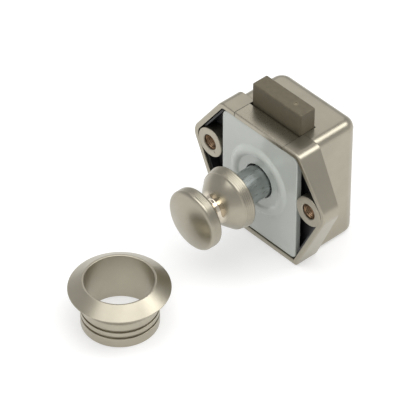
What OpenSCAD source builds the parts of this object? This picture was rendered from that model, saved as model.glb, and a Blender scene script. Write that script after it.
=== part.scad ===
// Push button cabinet lock with a rectangular bolt, a sprung knob and a loose door rosette.
// Millimetres. X runs across the ears, -Y points out of the door, +Z is the way the bolt throws.
// The origin is on the knob's axis, in the plane that lies against the back of the door.

/* [Case] */
// Width of the flat top of the case
case_w = 28.8; // [28:0.1:31]
// Height of the case above the knob's axis
case_top = 17.1; // [17:0.1:19]
// Depth of the case below the knob's axis
case_bottom = 19.5; // [19:0.1:22]
// Depth of the whole case, front face to rear face
case_depth = 21.5; // [19.4:0.1:24]
// Depth of the front frame to the back of its floor
frame_depth = 5.8; // [5.4:0.1:5.8]
// How far the frame's sides reach back past its floor
skirt_len = 1.3; // [0:0.1:2]
// Thickness of the case walls
wall = 1.5; // [1.2:0.1:1.6]
// How far the rear case's sides stand in from the frame's top corners
case_inset = 0.3; // [0:0.05:0.5]
// Radius of the case's long edges
case_edge_r = 2; // [1:0.1:2.2]
// Radius of the case's rear edges
rear_edge_r = 3; // [1:0.1:3.2]

/* [Ears] */
// Distance from the centre line to the ears' untrimmed points
ear_reach = 24.9; // [24:0.1:27]
// Height of the ears' points above the knob's axis
ear_rise = 2.6; // [0:0.1:3]
// Height of the screw holes above the knob's axis
hole_rise = 1.4; // [0:0.1:2.5]
// Rounding of the ears' points
ear_tip_r = 4.5; // [2:0.1:5]
// Rounding of the frame's bottom corners
frame_foot_r = 1; // [0.5:0.1:2]
// Width of the frame's rim round the ears
rim_w = 1.5; // [1.2:0.1:1.8]
// Thickness of the frame's floor behind the ears
floor_t = 1; // [0.8:0.1:1.2]
// Distance between the two screw holes
hole_spacing = 36.6; // [36.4:0.1:39]
// Bore of the screw holes
screw_hole_d = 4.4; // [3.5:0.1:4.8]
// Diameter of the bosses round the screw holes
boss_d = 8.6; // [7.6:0.1:8.8]
// Wall of the brass bushes
bush_wall = 0.4; // [0.3:0.05:0.6]
// How far the bushes sit behind the bosses' front face
bush_set_back = 0.5; // [0.3:0.1:1]

/* [Guide plate] */
// Thickness of the white guide plate
plate_t = 1.6; // [1.2:0.1:1.7]
// How far the guide plate sits behind the frame's front face
plate_set_back = 0.3; // [0.1:0.05:0.4]
// Width of the guide plate
plate_w = 27.5; // [26:0.1:27.6]
// Radius of the guide plate's upper corners
plate_corner_r = 2.2; // [1:0.1:3]
// Mid diameter of the raised ring
ring_d = 17.4; // [17:0.1:19]
// Radius of the raised ring's rounded section
ring_bead_r = 1.6; // [1.4:0.1:2]
// Height of the raised ring above the plate
ring_rise = 0.9; // [0.3:0.05:1]
// Height of the hub inside the ring above the plate
hub_rise = 0.2; // [0:0.05:0.4]
// Clearance round the shaft in the guide plate
plate_hole_gap = 0.35; // [0.15:0.05:0.5]

/* [Carrier] */
// Thickness of the black carrier behind the guide plate
carrier_t = 1.3; // [1:0.1:1.3]
// Thickness of the carrier's upstand in the ear pockets
lining_t = 0.5; // [0.4:0.05:0.8]
// How far the upstand stops behind the frame's front face
lining_set_back = 0.8; // [0.4:0.1:1.5]

/* [Plunger] */
// Diameter of the round shaft
shaft_d = 9; // [8.6:0.1:9]
// Free shaft between the guide plate and the knob's neck
shaft_out = 7.4; // [7.4:0.1:10]
// How far the knob travels when it is pushed
knob_travel = 7.4; // [6.8:0.1:7.4]
// Depth of the spigot's end behind the case's front with the knob out
spigot_end = 9.6; // [9.5:0.1:9.7]
// Diameter of the spring bore in the shaft
spring_bore_d = 4.5; // [4.2:0.1:4.6]
// Width of the cam wedge under the shaft
wedge_w = 7; // [5:0.1:7.2]
// Depth of the flat on which the wedge seats, from the shaft's axis
wedge_seat = 3.6; // [3.4:0.05:3.8]
// Drop from the shaft's axis to the wedge's thin end
wedge_tip_drop = 6.3; // [6.1:0.1:6.5]
// Diameter of the threaded stud between shaft and knob
stud_d = 4; // [3:0.1:4.4]
// Length of the stud inside the shaft
stud_in_shaft = 3.3; // [2.5:0.1:3.6]
// Length of the stud inside the knob
stud_in_knob = 6; // [4:0.1:8]

/* [Knob] */
// Diameter of the knob's rear flange
flange_d = 17.2; // [14:0.1:17.2]
// Diameter of the flange at its front crease
flange_crease_d = 16; // [13:0.1:16.2]
// Width of the flange's band
flange_band = 2.8; // [1:0.1:3.2]
// Diameter of the short neck behind the flange
rear_neck_d = 7; // [6:0.1:8]
// Length of the short neck behind the flange
rear_neck_len = 1.3; // [0.6:0.1:2]
// Diameter of the polished neck behind the head
neck_d = 6.8; // [6:0.1:8]
// Length of the cone from the flange to the neck
cone_len = 4.2; // [3:0.1:6]
// How much the cone bulges, from straight at 0 to a quarter round at 1
cone_swell = 0.25; // [0:0.05:1]
// Length of the polished neck
neck_len = 2.6; // [1.5:0.1:4]
// Diameter of the knob's head
head_d = 16.6; // [12:0.1:17]
// Length of the flare from the neck to the head's rim
flare_len = 2; // [1:0.1:3]
// Width of the head's rim
head_rim = 2.6; // [1:0.1:3]
// Height of the head's domed front
dome_h = 1.5; // [0.5:0.1:3]

/* [Bolt] */
// Width of the bolt
bolt_w = 17.8; // [17:0.1:17.9]
// Thickness of the bolt
bolt_t = 5; // [4.8:0.1:5]
// How far the bolt stands out of the case at rest
bolt_throw = 6.3; // [5.6:0.1:6.3]
// How far the drawn bolt lies under the case's top
bolt_sink = 0.2; // [0.1:0.05:0.3]
// Clearance round the bolt in its slot
bolt_gap = 0.15; // [0.1:0.05:0.25]
// Width of the window in the bolt
window_w = 9.5; // [9.4:0.1:9.8]
// Depth of the bolt's lower edge below the knob's axis
bolt_foot = 10.9; // [10.6:0.1:11]
// Chamfer on the bolt's upright edges
bolt_edge = 0.6; // [0.2:0.1:1]
// Chamfer round the bolt's top
bolt_top_edge = 0.3; // [0.1:0.1:0.6]

/* [Springs] */
// Wire diameter of the knob's return spring
return_wire = 0.45; // [0.35:0.05:0.5]
// Outer diameter of the knob's return spring
return_spring_d = 4; // [3.8:0.1:4.1]
// Turns of the knob's return spring
return_turns = 16; // [12:1:18]
// Wire diameter of the bolt springs
bolt_wire = 0.3; // [0.25:0.05:0.35]
// Outer diameter of the bolt springs
bolt_spring_d = 2.5; // [2.3:0.1:2.6]
// Turns of each bolt spring
bolt_turns = 14; // [10:1:16]
// Diameter of the bolt springs' holes
bolt_spring_hole_d = 2.8; // [2.7:0.1:3]
// Depth of the knob's axis to the top of the bolt springs' holes
spring_hole_top = 0; // [-2:0.1:1]
// Diameter of the post inside the return spring
post_d = 2.4; // [1.8:0.1:2.6]

/* [Index] */
// Outer diameter of the index rotor and crown
index_d = 8.6; // [8.4:0.1:8.6]
// Teeth on the index rotor and crown
index_teeth = 8; // [8:1:8]
// Height of the index teeth
tooth_h = 0.8; // [0.5:0.1:0.8]
// Diameter of the spigot that carries the rotor
spigot_d = 5.9; // [5.7:0.1:6]

/* [Case screws] */
// Distance of the case screws from the centre line
case_screw_x = 10.8; // [10.7:0.1:10.9]
// Distance of the case screws from the cavity's top and bottom
case_screw_inset = 2.2; // [1.9:0.1:3]
// Diameter of the case screws
case_screw_d = 1.8; // [1.4:0.1:2]
// Diameter of the case screws' heads
case_screw_head_d = 3.2; // [2.8:0.1:3.2]

/* [Rosette] */
// Diameter of the rosette's flange
rosette_d = 26; // [24:0.1:30]
// Bore of the rosette
rosette_bore_d = 17.6; // [17.2:0.1:18]
// Diameter of the rosette's barrel
barrel_d = 20; // [19.4:0.1:21]
// Height of the flange's outer edge above the barrel's end
rosette_edge_h = 11.4; // [10:0.1:14]
// Rise of the conical face from its edge to the bore
rosette_rise = 2.5; // [1:0.1:4]
// Height of the plain band at the barrel's end
barrel_band = 2.8; // [2:0.1:3.5]
// Height of each rib round the barrel
rib_h = 1.3; // [0.8:0.1:1.6]
// Width of the grooves between the ribs
groove_w = 0.75; // [0.5:0.05:0.9]
// Depth of the grooves between the ribs
groove_depth = 0.6; // [0.3:0.1:0.8]
// Sideways place of the rosette beside the lock
rosette_x = -0.6; // [-10:0.1:10]
// Distance of the rosette in front of the lock
rosette_out = 46.4; // [42:0.1:70]

/* [Hidden] */
$fn = 96;

// Finishes, as the photograph shows them
nickel = [0.72, 0.69, 0.62];
zinc = [0.60, 0.64, 0.65];
white_plastic = [0.86, 0.88, 0.86];
black_plastic = [0.04, 0.04, 0.04];
taupe = [0.40, 0.37, 0.29];
brass = [0.66, 0.46, 0.22];
spring_steel = [0.55, 0.56, 0.58];

// Clearances
seat_gap = 0.15;
running_gap = 0.05;
thread_gap = 0.02;
stop_gap = 0.3;
overlap = 0.4;

// Case
case_half = case_w / 2 - case_inset;
cavity_half = case_half - wall;
cavity_top = case_top - wall;
cavity_bottom = -case_bottom + wall;
rear_wall_y = case_depth - wall;
case_outline = [[-case_half, -case_bottom], [case_half, -case_bottom],
    [case_half, case_top], [-case_half, case_top]];

// Frame: corners of its outline, run anticlockwise, and the radius of each
frame_outline = [[-case_w / 2, -case_bottom], [case_w / 2, -case_bottom], [ear_reach, ear_rise],
    [case_w / 2, case_top], [-case_w / 2, case_top], [-ear_reach, ear_rise]];
frame_radii = [frame_foot_r, frame_foot_r, ear_tip_r, case_edge_r, case_edge_r, ear_tip_r];
hole_x = hole_spacing / 2;
floor_y = frame_depth - floor_t;
frame_back = frame_depth + skirt_len;

// Guide plate and carrier
plate_back = plate_set_back + plate_t;
plate_top = case_top - rim_w - seat_gap;
plate_bottom = -case_bottom + rim_w + seat_gap;
plate_foot_r = frame_foot_r + 0.5;
carrier_y = floor_y - carrier_t;
carrier_boss_y = plate_back + seat_gap;

// Plunger, along Y with the knob out
shaft_front = -shaft_out;
wedge_front = plate_back + stop_gap;
wedge_rear = spigot_end + 0.1;
spigot_len = 1.6;
body_end = spigot_end - spigot_len;
bore_front = shaft_front + stud_in_shaft + 1.1;
slope = (bolt_throw + bolt_sink) / knob_travel;
cam_gap = 0.2;
wedge_deep = wedge_tip_drop + slope * (wedge_rear - wedge_front);
wedge_tip_top = index_d / 2 + 0.4;
wedge_screw_y = wedge_front + 2;
wedge_screw_r = 0.9;
wedge_head_r = 1.6;
wedge_head_top = wedge_seat + 2.6;
wedge_head_h = 1.2;

// Knob, along Y
flange_y = shaft_front - rear_neck_len;
crease_y = flange_y - flange_band;
neck_y = crease_y - cone_len;
flare_y = neck_y - neck_len;
rim_y = flare_y - flare_len;
face_y = rim_y - head_rim;
edge_r = 0.35;

// Bolt
bolt_front = frame_depth + 0.2;
bolt_mid = bolt_front + bolt_t / 2;
bolt_back = bolt_front + bolt_t;
bolt_top = case_top + bolt_throw;
window_top = shaft_d / 2 + bolt_throw + bolt_sink + stop_gap;
leg_mid = (window_w + bolt_w) / 4;
slot_half = bolt_w / 2 + bolt_gap;
mark_r = 0.7;
rail_t = 1.2;
rail_gap = 0.7;
tongue_h = 3;

// Springs
guide_flange_t = 0.5;
guide_flange_r = 3.2;
post_front = bore_front + knob_travel + stop_gap;
peg_r = 0.7;
peg_h = 1.5;

// Index
index_inner_r = 3.45;
index_root = 1;
rotor_base_t = 0.7;
rotor_y = body_end + 2 * running_gap;
crown_base_t = rear_wall_y - (rotor_y + rotor_base_t + tooth_h + knob_travel) - stop_gap;
clip_y = rotor_y + rotor_base_t + running_gap;
clip_t = 0.4;
clip_depth = 0.35;

// Case screws
screw_spots = [for (sx = [-1, 1], z = [cavity_bottom + case_screw_inset,
    cavity_top - case_screw_inset]) [sx * case_screw_x, z]];
post_r = case_screw_head_d / 2;
screw_gap = 0.15;
screw_head_h = 1;
screw_recess = 1.3;

function unit(v) = v / norm(v);
function half_angle(p, c, n) = acos(unit(p - c) * unit(n - c)) / 2;

// Centre of an arc of radius r in the corner c between its neighbours p and n
function corner_centre(p, c, n, r) =
    c + unit(unit(p - c) + unit(n - c)) * r / sin(half_angle(p, c, n));

// The two points where that arc meets the sides
function corner_cuts(p, c, n, r) =
    let (reach = r / tan(half_angle(p, c, n))) [c + unit(p - c) * reach, c + unit(n - c) * reach];

function before(points, i) = points[(i + len(points) - 1) % len(points)];
function after(points, i) = points[(i + 1) % len(points)];

// The outline moved inwards by t all round
function inset(points, t) = [for (i = [0:len(points) - 1])
    corner_centre(before(points, i), points[i], after(points, i), t)];

module rounded_outline(points, radii) {
    polygon([for (i = [0:len(points) - 1])
        each corner_cuts(before(points, i), points[i], after(points, i), radii[i])]);
    for (i = [0:len(points) - 1])
        translate(corner_centre(before(points, i), points[i], after(points, i), radii[i]))
            circle(radii[i]);
}

// An outline drawn in X and Z, made solid from y0 to y1
module slab(y0, y1) {
    translate([0, y1, 0]) rotate([90, 0, 0]) linear_extrude(y1 - y0) children();
}

// A round bar along Y
module bar(r, y0, y1, x = 0, z = 0) {
    translate([x, y0, z]) rotate([-90, 0, 0]) cylinder(r = r, h = y1 - y0);
}

// A profile of radius against Y, turned round the knob's axis
module turned() {
    rotate([-90, 0, 0]) rotate_extrude() children();
}

// A block between two corners
module block(low, high) {
    translate(low) cube(high - low);
}

module front_frame() color(nickel) difference() {
    union() {
        slab(0, frame_back) difference() {
            rounded_outline(frame_outline, frame_radii);
            polygon(inset(frame_outline, rim_w));
        }
        slab(floor_y, frame_back) difference() {
            rounded_outline(frame_outline, frame_radii);
            translate([-cavity_half, cavity_bottom])
                square([2 * cavity_half, cavity_top - cavity_bottom]);
        }
        for (sx = [-1, 1]) bar(boss_d / 2, 0, frame_back, sx * hole_x, hole_rise);
        for (spot = screw_spots) screw_tab(spot);
    }
    for (sx = [-1, 1]) {
        bar(screw_hole_d / 2, -1, frame_back + 1, sx * hole_x, hole_rise);
        bar(screw_hole_d / 2 + bush_wall + thread_gap, bush_set_back, frame_back + 1,
            sx * hole_x, hole_rise);
    }
    for (spot = screw_spots)
        bar(case_screw_d / 2 + screw_gap, floor_y - 1, frame_depth + 1, spot[0], spot[1]);
    block([-slot_half, -1, cavity_top - overlap], [slot_half, frame_back + 1, case_top + 1]);
}

// The corner of the frame's floor that a case screw passes
module screw_tab(spot) {
    inner = case_screw_x - post_r;
    outer = cavity_half + overlap;
    side = sign(spot[0]);
    far = spot[1] > 0 ? cavity_top + overlap : cavity_bottom - overlap;
    near = spot[1] > 0 ? spot[1] - post_r : spot[1] + post_r;
    block([min(side * inner, side * outer), floor_y, min(near, far)],
        [max(side * inner, side * outer), frame_depth, max(near, far)]);
}

module rear_case() color(nickel) difference() {
    union() {
        difference() {
            case_shell();
            block([-cavity_half, frame_back - 1, cavity_bottom],
                [cavity_half, rear_wall_y, cavity_top]);
        }
        for (spot = screw_spots) bar(post_r, frame_depth, rear_wall_y + overlap, spot[0], spot[1]);
        for (sx = [-1, 1]) bolt_rail(sx);
        for (sx = [-1, 1]) translate([sx * leg_mid, bolt_mid, cavity_bottom - overlap])
            cylinder(r = peg_r, h = peg_h + overlap);
    }
    block([-slot_half, frame_back - 1, cavity_top - overlap],
        [slot_half, bolt_back + bolt_gap, case_top + 1]);
    for (spot = screw_spots) {
        bar(case_screw_d / 2 + screw_gap, frame_depth - 1, case_depth + 1, spot[0], spot[1]);
        bar(post_r + screw_gap, case_depth - screw_recess, case_depth + 1, spot[0], spot[1]);
    }
    bar(post_d / 2 + thread_gap, rear_wall_y - 1, case_depth + 1);
    bar(post_d / 2 + 1.2, case_depth - 0.5, case_depth + 1);
}

// The rear case's outside, with its rounded rear edges
module case_shell() {
    hull() {
        slab(frame_back, case_depth - rear_edge_r)
            rounded_outline(case_outline, [frame_foot_r, frame_foot_r, case_edge_r, case_edge_r]);
        for (sx = [-1, 1], z = [-case_bottom + rear_edge_r, case_top - rear_edge_r])
            translate([sx * (case_half - rear_edge_r), case_depth - rear_edge_r, z])
                sphere(rear_edge_r, $fn = 36);
    }
}

// An upright rail behind the bolt's leg
module bolt_rail(side) {
    inner = shaft_d / 2 + rail_gap;
    outer = cavity_half + overlap;
    back = bolt_back + bolt_gap;
    block([min(side * inner, side * outer), back, cavity_bottom - overlap],
        [max(side * inner, side * outer), back + rail_t, cavity_top + overlap]);
}

// The loose bar that closes the frame's notch in front of the bolt
module slot_bridge() color(nickel) {
    half = slot_half - 0.1;
    block([-half, 0, cavity_top], [half, frame_depth - running_gap, case_top]);
    block([-half / 2, plate_back + seat_gap, cavity_top - tongue_h],
        [half / 2, carrier_y - running_gap, cavity_top + overlap]);
}

module guide_plate() color(white_plastic) difference() {
    union() {
        slab(plate_set_back, plate_back) intersection() {
            rounded_outline(
                [[-plate_w / 2, plate_bottom], [plate_w / 2, plate_bottom],
                    [plate_w / 2, plate_top], [-plate_w / 2, plate_top]],
                [plate_foot_r, plate_foot_r, plate_corner_r, plate_corner_r]);
            polygon(inset(frame_outline, rim_w + seat_gap));
        }
        bar(ring_d / 2, plate_set_back - hub_rise, plate_back);
        bead_y = plate_set_back - ring_rise + ring_bead_r;
        turned() intersection() {
            translate([ring_d / 2, bead_y]) circle(ring_bead_r);
            translate([ring_d / 2 - ring_bead_r, plate_set_back - ring_rise])
                square([2 * ring_bead_r, plate_t + ring_rise]);
        }
    }
    bar(shaft_d / 2 + plate_hole_gap, -2, plate_back + 1);
}

module carrier_plate() color(black_plastic) difference() {
    lining = inset(frame_outline, rim_w + seat_gap);
    union() {
        slab(carrier_y, floor_y) polygon(lining);
        // The upstand that lines the ear pockets
        slab(lining_set_back, carrier_y + overlap) intersection() {
            difference() {
                polygon(lining);
                polygon(inset(frame_outline, rim_w + seat_gap + lining_t));
            }
            for (sx = [-1, 1]) translate([sx * (plate_w / 2 + seat_gap + ear_reach), 0])
                square([2 * ear_reach, 2 * (case_top + case_bottom)], center = true);
        }
        for (spot = screw_spots) bar(post_r, carrier_boss_y, floor_y, spot[0], spot[1]);
        for (sx = [-1, 1]) front_rail(sx);
    }
    for (sx = [-1, 1])
        bar(boss_d / 2 + seat_gap, -1, frame_depth, sx * hole_x, hole_rise);
    // Thin slivers are left out where the lining passes the bosses
    for (sx = [-1, 1]) translate([sx * (hole_x + boss_d / 2), 0, hole_rise])
        cube([boss_d, 2 * frame_depth, 0.85 * boss_d], center = true);
    // The keyhole that guides the shaft and keeps the wedge upright
    bar(shaft_d / 2 + running_gap, 0, frame_depth + 1);
    block([-wedge_w / 2 - seat_gap, 0, -wedge_deep - stop_gap], [wedge_w / 2 + seat_gap, frame_depth + 1, 0]);
    for (spot = screw_spots)
        bar(case_screw_d / 2 + thread_gap, 0, frame_depth, spot[0], spot[1]);
}

// A rail on the carrier's back that steadies the bolt's front
module front_rail(side) {
    block([min(side * (leg_mid - 0.6), side * (leg_mid + 0.6)), floor_y - overlap,
            cavity_bottom + stop_gap],
        [max(side * (leg_mid - 0.6), side * (leg_mid + 0.6)), bolt_front - bolt_gap,
            cavity_top - stop_gap]);
}

module screw_bushes() color(brass) for (sx = [-1, 1]) difference() {
    bar(screw_hole_d / 2 + bush_wall, bush_set_back, frame_back, sx * hole_x, hole_rise);
    bar(screw_hole_d / 2, -1, frame_back + 1, sx * hole_x, hole_rise);
}

module case_screws() color(spring_steel) for (spot = screw_spots)
    translate([spot[0], 0, spot[1]]) difference() {
        head_y = case_depth - screw_recess;
        union() {
            bar(case_screw_d / 2, carrier_boss_y + 0.3, head_y + overlap);
            bar(case_screw_head_d / 2, head_y, head_y + screw_head_h);
        }
        // The cross recess
        for (turn = [0, 90]) rotate([0, turn, 0])
            block([-1.1, head_y + screw_head_h - 0.5, -0.25], [1.1, case_depth + 1, 0.25]);
    }

module spring_guide() color(spring_steel) {
    bar(post_d / 2, post_front, case_depth - 0.5);
    bar(guide_flange_r, rear_wall_y - guide_flange_t, rear_wall_y);
    bar(post_d / 2 + 1, case_depth - 0.5, case_depth - 0.1);
}

// One saw tooth of the index, standing on y from a ring, its ramp rising towards +Z
module saw_tooth(turn, upside_down) {
    half = index_inner_r * sin(180 / index_teeth) - running_gap;
    points = upside_down ? [[-half, 0], [half, tooth_h], [-half, tooth_h]]
        : [[-half, 0], [half, 0], [half, tooth_h]];
    rotate([0, turn, 0]) translate([index_inner_r - index_root, 0, 0])
        rotate([0, 90, 0]) linear_extrude(index_d)
            polygon([for (p = points) [-p[0], p[1]]]);
}

// The ring that both index pieces are cut from
module index_ring(r, y0, y1) {
    difference() {
        bar(index_d / 2, y0, y1);
        bar(r, y0 - 1, y1 + 1);
    }
}

module index_crown() color(black_plastic) {
    base_y = rear_wall_y - crown_base_t;
    index_ring(index_inner_r, base_y, rear_wall_y);
    for (i = [0:index_teeth - 1]) intersection() {
        index_ring(index_inner_r, base_y - tooth_h, base_y + overlap / 2);
        translate([0, base_y - tooth_h, 0]) union() {
            saw_tooth(i * 360 / index_teeth, true);
            translate([0, tooth_h - 0.01, 0]) saw_tooth(i * 360 / index_teeth, false);
        }
    }
}

module index_rotor() color(white_plastic) {
    top_y = rotor_y + rotor_base_t;
    index_ring(spigot_d / 2 + running_gap, rotor_y, top_y);
    for (i = [0:index_teeth - 1]) intersection() {
        index_ring(index_inner_r, top_y - 0.2, top_y + tooth_h);
        translate([0, top_y, 0]) saw_tooth(i * 360 / index_teeth, false);
    }
}

module plunger_shaft() color(zinc) difference() {
    turned() polygon([[0, shaft_front], [shaft_d / 2 - 0.5, shaft_front],
        [shaft_d / 2, shaft_front + 0.5], [shaft_d / 2, body_end], [spigot_d / 2, body_end],
        [spigot_d / 2, clip_y], [spigot_d / 2 - clip_depth, clip_y],
        [spigot_d / 2 - clip_depth, clip_y + clip_t], [spigot_d / 2, clip_y + clip_t],
        [spigot_d / 2, spigot_end], [0, spigot_end]]);
    bar(stud_d / 2 + thread_gap, shaft_front - 1, shaft_front + stud_in_shaft + 0.1);
    bar(spring_bore_d / 2, bore_front, spigot_end + 1);
    // The flat and the tapped hole for the wedge
    block([-shaft_d, wedge_front - 0.1, -shaft_d], [shaft_d, spigot_end + 1, -wedge_seat]);
    translate([0, wedge_screw_y, -wedge_seat - 1])
        cylinder(r = wedge_screw_r + thread_gap, h = wedge_seat + 1 - spring_bore_d / 2 - 0.2);
}

module cam_wedge() color(black_plastic) difference() {
    rotate([90, 0, 90]) translate([0, 0, -wedge_w / 2]) linear_extrude(wedge_w)
        polygon([[wedge_front, -wedge_seat], [wedge_front, -wedge_deep],
            [wedge_rear, -wedge_tip_drop], [wedge_rear, -wedge_tip_top],
            [body_end, -wedge_tip_top], [body_end, -wedge_seat]]);
    translate([0, wedge_screw_y, -2 * wedge_deep])
        cylinder(r = wedge_screw_r + 0.1, h = 2 * wedge_deep);
    translate([0, wedge_screw_y, -2 * wedge_deep])
        cylinder(r = wedge_head_r + 0.1, h = 2 * wedge_deep - wedge_head_top);
}

module wedge_screw() color(spring_steel) translate([0, wedge_screw_y, 0]) difference() {
    union() {
        translate([0, 0, -wedge_head_top]) cylinder(r = wedge_screw_r,
            h = wedge_head_top - spring_bore_d / 2 - 0.4);
        translate([0, 0, -wedge_head_top - wedge_head_h])
            cylinder(r = wedge_head_r, h = wedge_head_h);
    }
    block([-2, -0.25, -wedge_head_top - wedge_head_h - 1],
        [2, 0.25, -wedge_head_top - wedge_head_h + 0.5]);
}

module rotor_clip() color(spring_steel) difference() {
    bar(index_inner_r - 0.15, clip_y + thread_gap, clip_y + clip_t - thread_gap);
    bar(spigot_d / 2 - clip_depth + thread_gap, clip_y - 1, clip_y + 1);
    block([0, clip_y - 1, -1.2], [index_d, clip_y + 1, 1.2]);
}

// A curve from p to q that bulges outwards, straight where full is 0 and a quarter wave where it is 1
function swell(p, q, full, steps) = [for (i = [0:steps]) let (s = i / steps, t = 90 * s)
    [p[0] + (q[0] - p[0]) * (s + full * (1 - cos(t) - s)),
        p[1] + (q[1] - p[1]) * (s + full * (sin(t) - s))]];

// An arc of an outer corner of radius r that ends square to the axis
function lip(x, y, r, way, steps) = [for (i = [0:steps]) let (t = 90 * i / steps)
    [x - r + r * sin(t), y + way * (r - r * cos(t))]];

module knob() color(nickel) difference() {
    dome_r = (pow(head_d / 2, 2) + pow(dome_h, 2)) / (2 * dome_h);
    crown_angle = asin(head_d / 2 / dome_r);
    dome = [for (i = [0:12]) let (t = crown_angle * (1 - i / 12))
        [dome_r * sin(t), face_y + dome_r * cos(crown_angle) - dome_r * cos(t)]];
    turned() polygon(concat(
        [[0, shaft_front], [rear_neck_d / 2, shaft_front], [rear_neck_d / 2, flange_y]],
        lip(flange_d / 2, flange_y, edge_r, -1, 4),
        [[flange_crease_d / 2, crease_y]],
        swell([flange_crease_d / 2 - 0.2, crease_y - 0.15], [neck_d / 2, neck_y], cone_swell, 12),
        [[neck_d / 2, flare_y + 0.2], [neck_d / 2 + 0.3, flare_y]],
        [[head_d / 2 - 0.5, rim_y + 0.3], [head_d / 2, rim_y]],
        dome));
    bar(stud_d / 2 + thread_gap, shaft_front - stud_in_knob - 0.1, shaft_front + 1);
}

module knob_stud() color(spring_steel)
    bar(stud_d / 2, shaft_front - stud_in_knob, shaft_front + stud_in_shaft);

module latch_bolt() color(taupe) difference() {
    union() {
        translate([0, 0, -bolt_foot]) linear_extrude(bolt_top - bolt_top_edge + bolt_foot)
            bolt_section(0);
        for (i = [1:3]) translate([0, 0, bolt_top - bolt_top_edge * i / 3])
            linear_extrude(bolt_top_edge / 3) bolt_section(bolt_top_edge * (1 - i / 3));
    }
    // The window for the shaft, its sill sloped to match the wedge
    rotate([90, 0, 90]) translate([0, 0, -window_w / 2]) linear_extrude(window_w)
        polygon([[bolt_front - 1, sill(bolt_front - 1)], [bolt_back + 1, sill(bolt_back + 1)],
            [bolt_back + 1, window_top], [bolt_front - 1, window_top]]);
    for (sx = [-1, 1]) translate([sx * leg_mid, bolt_mid, -bolt_foot - 1])
        cylinder(d = bolt_spring_hole_d, h = bolt_foot + 1 - spring_hole_top);
    // A moulding mark on the top face
    translate([bolt_w / 4, bolt_mid, bolt_top - 0.15]) cylinder(r = mark_r, h = 1);
}

// Height of the bolt's sill at a given depth, which runs under the wedge's slope
function sill(y) = -wedge_tip_drop - cam_gap + slope * (y - wedge_rear);

// The bolt cut across, drawn in by t
module bolt_section(t) {
    half = bolt_w / 2 - t;
    deep = bolt_t / 2 - t;
    e = bolt_edge;
    translate([0, bolt_mid]) polygon([[-half + e, -deep], [half - e, -deep], [half, -deep + e],
        [half, deep - e], [half - e, deep], [-half + e, deep], [-half, deep - e],
        [-half, -deep + e]]);
}

// Points on the centre line of a coil that climbs along +Z
function coil_point(r, height, turns, i, rings) =
    [r * cos(360 * i / rings), r * sin(360 * i / rings), height * i / (rings * turns)];

// A coil spring standing on z = 0, one unbroken tube of six sides
module coil(outer_d, wire, height, turns) {
    rings = 8;
    sides = 6;
    r = (outer_d - wire) / 2;
    climb = height - wire;
    last = rings * turns;
    lean = atan2(climb / turns, 2 * PI * r);
    points = [for (i = [0:last], k = [0:sides - 1]) let (
            c = coil_point(r, climb, turns, i, rings),
            a = 360 * i / rings,
            out = wire / 2 * cos(360 * k / sides),
            up = wire / 2 * sin(360 * k / sides))
        [c[0] + out * cos(a) + up * sin(lean) * sin(a),
            c[1] + out * sin(a) - up * sin(lean) * cos(a),
            c[2] + up * cos(lean) + wire / 2]];
    walls = [for (i = [0:last - 1], k = [0:sides - 1]) let (
            a = i * sides + k, b = i * sides + (k + 1) % sides)
        each [[a, a + sides, b], [b, a + sides, b + sides]]];
    ends = [for (k = [1:sides - 2])
        each [[0, k, k + 1], [last * sides, last * sides + k + 1, last * sides + k]]];
    echo(str("coil gap ", climb / turns * cos(lean) - wire));
    polyhedron(points, concat(walls, ends));
}

module return_spring() color(spring_steel)
    translate([0, bore_front + 0.1, 0]) rotate([-90, 0, 0])
        coil(return_spring_d, return_wire,
            rear_wall_y - guide_flange_t - bore_front - 0.2, return_turns);

module bolt_springs() color(spring_steel) for (sx = [-1, 1])
    translate([sx * leg_mid, bolt_mid, cavity_bottom + 0.1])
        coil(bolt_spring_d, bolt_wire, -cavity_bottom - spring_hole_top - 0.2, bolt_turns);

module rosette() color(nickel) translate([rosette_x, -rosette_out, -case_bottom])
    rotate_extrude() {
        bore_r = rosette_bore_d / 2;
        barrel_r = barrel_d / 2;
        root_r = barrel_r - groove_depth;
        rib1 = barrel_band + groove_w;
        rib2 = rib1 + rib_h + groove_w;
        neck_top = rib2 + rib_h;
        rim_top = rosette_edge_h + rosette_rise;
        cove_r = rosette_edge_h - 0.5 - neck_top - 1.2;
        polygon(concat(
            [[bore_r, 0.3], [bore_r + 0.3, 0], [barrel_r - 0.4, 0], [barrel_r, 0.4],
                [barrel_r, barrel_band - 0.1], [barrel_r - 0.1, barrel_band], [root_r, barrel_band],
                [root_r, rib1], [barrel_r - 0.15, rib1], [barrel_r, rib1 + 0.2],
                [barrel_r, rib1 + rib_h - 0.2], [barrel_r - 0.15, rib1 + rib_h],
                [root_r, rib1 + rib_h], [root_r, rib2], [barrel_r - 0.15, rib2],
                [barrel_r, rib2 + 0.2], [barrel_r, neck_top - 0.2],
                [barrel_r - 0.2, neck_top]],
            [for (i = [0:8]) let (t = 90 * i / 8)
                [barrel_r - 0.2 + cove_r * (1 - cos(t)), neck_top + 1.2 + cove_r * sin(t)]],
            [[rosette_d / 2 - 0.4, rosette_edge_h - 0.4], [rosette_d / 2, rosette_edge_h - 0.15],
                [rosette_d / 2 - 0.1, rosette_edge_h + 0.05],
                [bore_r + 0.7, rim_top - 0.1], [bore_r + 0.3, rim_top], [bore_r, rim_top - 0.25]]));
    }

front_frame();
rear_case();
slot_bridge();
guide_plate();
carrier_plate();
screw_bushes();
case_screws();
spring_guide();
index_crown();
return_spring();
bolt_springs();
plunger_shaft();
cam_wedge();
wedge_screw();
knob();
knob_stud();
rotor_clip();
index_rotor();
latch_bolt();
rosette();
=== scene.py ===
"""Push button cabinet lock: modelled pieces, finishes, floor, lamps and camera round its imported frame."""

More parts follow.
